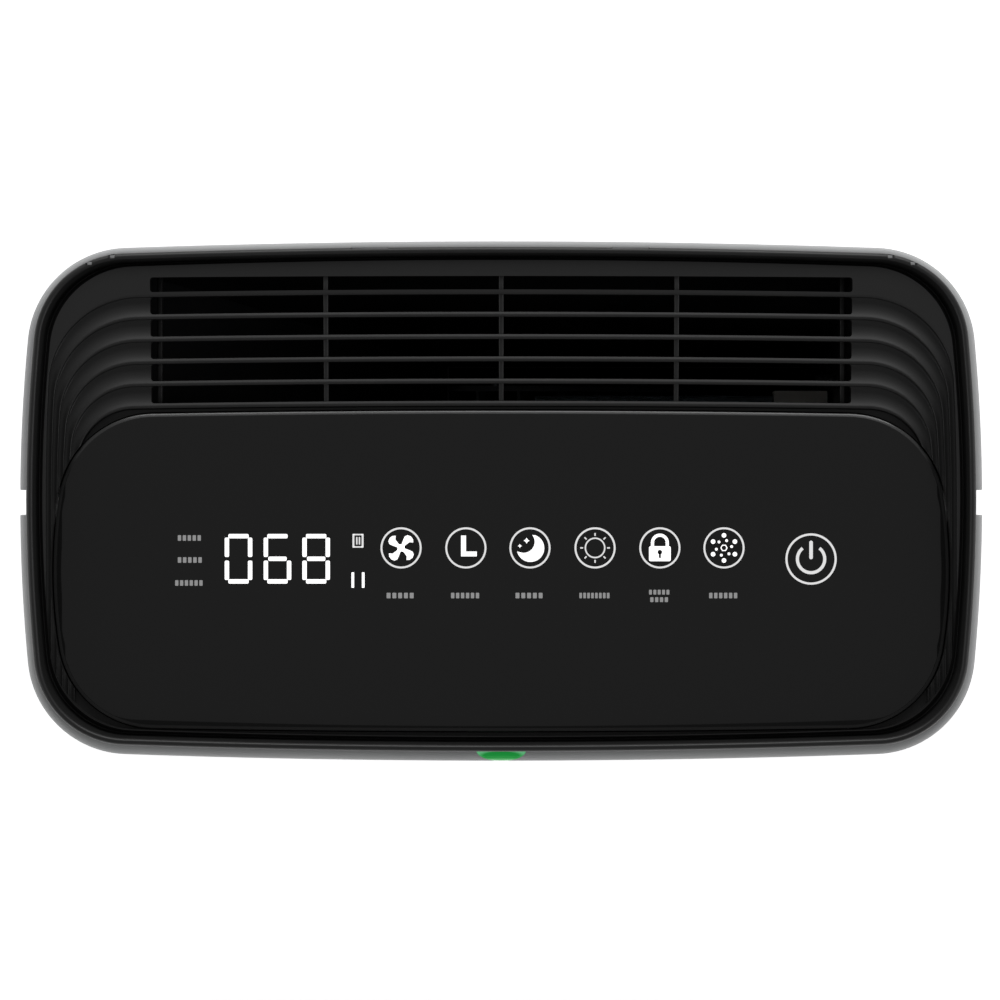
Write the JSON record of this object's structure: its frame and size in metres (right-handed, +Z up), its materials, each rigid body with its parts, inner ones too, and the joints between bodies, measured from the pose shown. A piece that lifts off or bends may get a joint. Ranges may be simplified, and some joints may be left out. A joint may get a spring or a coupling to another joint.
{
  "type": "air purifier",
  "caption": "Free-standing air purifier with side intakes, a pull-off front cover, slide-out filters, a centrifugal fan and a touch panel sunk in a stepped top grille.",
  "frame": {"origin": "on the floor, under the middle of the body's bounding box", "axes": "+Z up, front towards -Y, +X to the right of someone facing the back from the front"},
  "size_m": [0.3998, 0.216, 0.61],
  "materials": {
    "foot_rubber": "moulded matt",
    "base_plastic": "moulded matt",
    "frame_plastic": "moulded matt",
    "shell_white": "moulded, fine satin texture",
    "deck_black": "moulded, satin",
    "panel_gloss": "polished, printed",
    "lens_green": "translucent, lit",
    "clear_plastic": "clear",
    "magnet": "nickel plated",
    "steel": "zinc plated",
    "filter_plastic": "moulded",
    "mesh_nylon": "woven nylon net",
    "filter_card": "coated card",
    "pleat_paper": "pleated glass fibre paper",
    "carbon": "activated carbon granules in a honeycomb",
    "seal_foam": "open cell foam",
    "tab_fabric": "woven tape",
    "fan_plastic": "moulded",
    "impeller_plastic": "moulded",
    "motor_zinc": "zinc plated steel pressing",
    "winding": "enamelled copper and laminations",
    "lamp_glass": "clear quartz tube",
    "lamp_ceramic": "moulded",
    "module_plastic": "moulded",
    "board_green": "solder mask",
    "board_brown": "paper laminate",
    "component_black": "moulded",
    "plunger_red": "moulded",
    "pin_brass": "nickel plated brass",
    "lead_white": "PVC sheath",
    "lead_red": "PVC sheath"
  },
  "bodies": {
    "housing": {"rubber_feet": "foot_rubber", "base_tray": "base_plastic", "main_frame": "frame_plastic", "rear_shell": "shell_white", "top_rim": "deck_black", "outlet_grille": "deck_black", "panel_tray": "deck_black", "control_panel": "panel_gloss", "light_guide": "clear_plastic", "strike_plates": "steel", "inlet_ring": "fan_plastic", "fan_guard": "steel", "scroll_front": "fan_plastic", "scroll_rear": "fan_plastic", "motor_can": "motor_zinc", "motor_stator": "winding", "motor_bearings": "steel", "motor_mounts": "foot_rubber", "motor_screws": "steel", "scroll_screws": "steel", "outlet_duct": "fan_plastic", "uv_lamp": "lamp_glass", "lamp_holder": "lamp_ceramic", "ioniser_module": "module_plastic", "emitter_brushes": "carbon", "control_board": "board_green", "display_module": "panel_gloss", "touch_springs": "steel", "indicator_board": "board_green", "power_board": "board_brown", "power_components": "component_black", "board_screws": "steel", "interlock_switch": "component_black", "dust_sensor": "component_black", "intake_grilles": "deck_black", "handle_cup": "shell_white", "inlet_socket": "component_black", "inlet_pins": "pin_brass", "mains_lead": "lead_white", "motor_lead": "lead_red", "ribbon_cable": "lead_white", "case_screws": "steel"},
    "cover": {"front_cover": "shell_white", "indicator_lens": "lens_green", "cover_magnets": "magnet"},
    "prefilter": {"prefilter_frame": "filter_plastic", "prefilter_mesh": "mesh_nylon"},
    "cassette": {"filter_frame": "filter_card", "hepa_pleats": "pleat_paper", "carbon_bed": "carbon", "filter_seal": "seal_foam", "pull_tabs": "tab_fabric"},
    "fan": {"impeller": "impeller_plastic", "motor_shaft": "steel", "shaft_nut": "steel", "motor_rotor": "magnet"},
    "plunger": {"switch_plunger": "plunger_red"}
  },
  "joints": [
    {"name": "fan_spin", "type": "hinge", "parent": "housing", "child": "fan", "pos_m": [-0.003, 0, 0.224], "axis": [0, 1, 0], "continuous": true},
    {"name": "cover_pull", "type": "slide", "parent": "housing", "child": "cover", "axis": [0, -1, 0], "range_m": [0, 0.24]},
    {"name": "prefilter_pull", "type": "slide", "parent": "housing", "child": "prefilter", "axis": [0, -1, 0], "range_m": [0, 0.16]},
    {"name": "cassette_pull", "type": "slide", "parent": "housing", "child": "cassette", "axis": [0, -1, 0], "range_m": [0, 0.08]},
    {"name": "switch_release", "type": "slide", "parent": "housing", "child": "plunger", "axis": [0, -1, 0], "range_m": [0, 0.003]}
  ],
  "couplings": [
    {"joint": "prefilter_pull", "follows": "cover_pull", "ratio": 0.66667},
    {"joint": "cassette_pull", "follows": "cover_pull", "ratio": 0.33333},
    {"joint": "switch_release", "follows": "cover_pull", "ratio": 0.0125}
  ]
}
